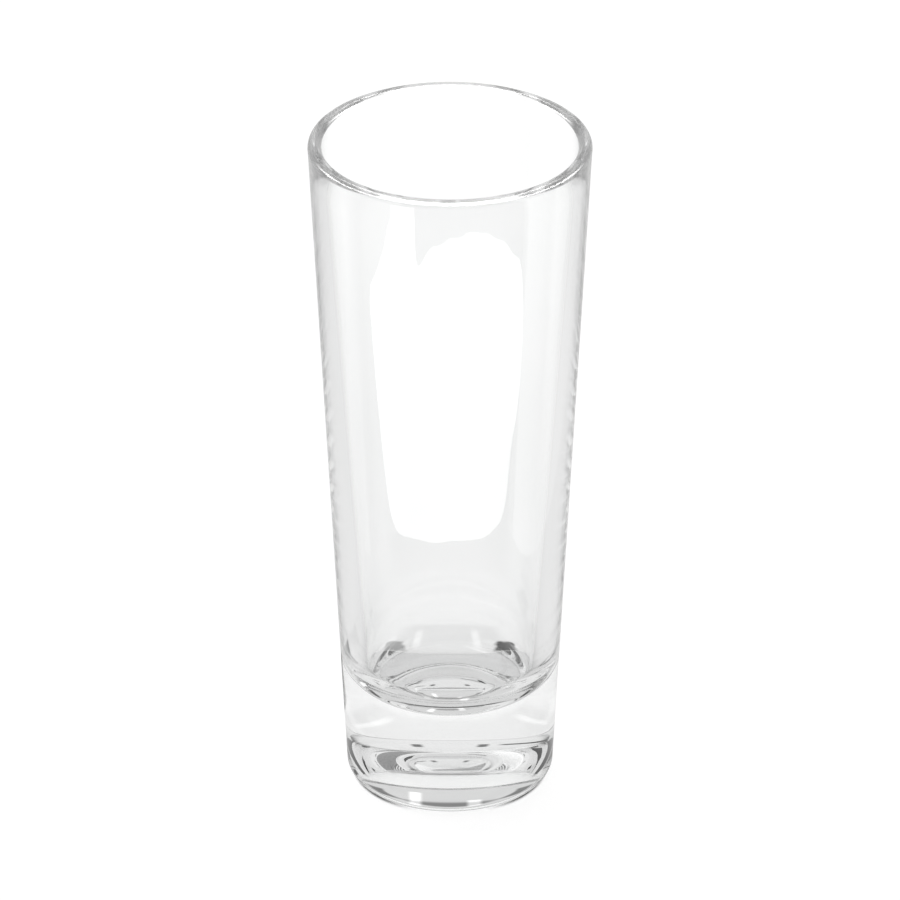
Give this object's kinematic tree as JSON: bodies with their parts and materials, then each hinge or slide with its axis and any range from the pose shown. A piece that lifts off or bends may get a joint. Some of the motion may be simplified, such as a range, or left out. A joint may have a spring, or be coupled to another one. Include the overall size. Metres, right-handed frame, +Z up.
{
  "type": "shot glass",
  "caption": "Tall tapered shot glass of clear glass with a rounded lip, a rounded inside bottom and a heavy base hollowed from below, for holding a small drink.",
  "frame": {"origin": "centre of the resting ring, on the plane that the glass stands on", "axes": "+Z up along the glass's axis, from the base to the mouth; the glass is round, so X and Y are free"},
  "size_m": [0.0416, 0.0416, 0.105],
  "materials": {
    "clear_glass": "clear, fire-polished, smooth"
  },
  "bodies": {
    "root": {"bowl": "clear_glass", "base": "clear_glass"}
  },
  "joints": []
}
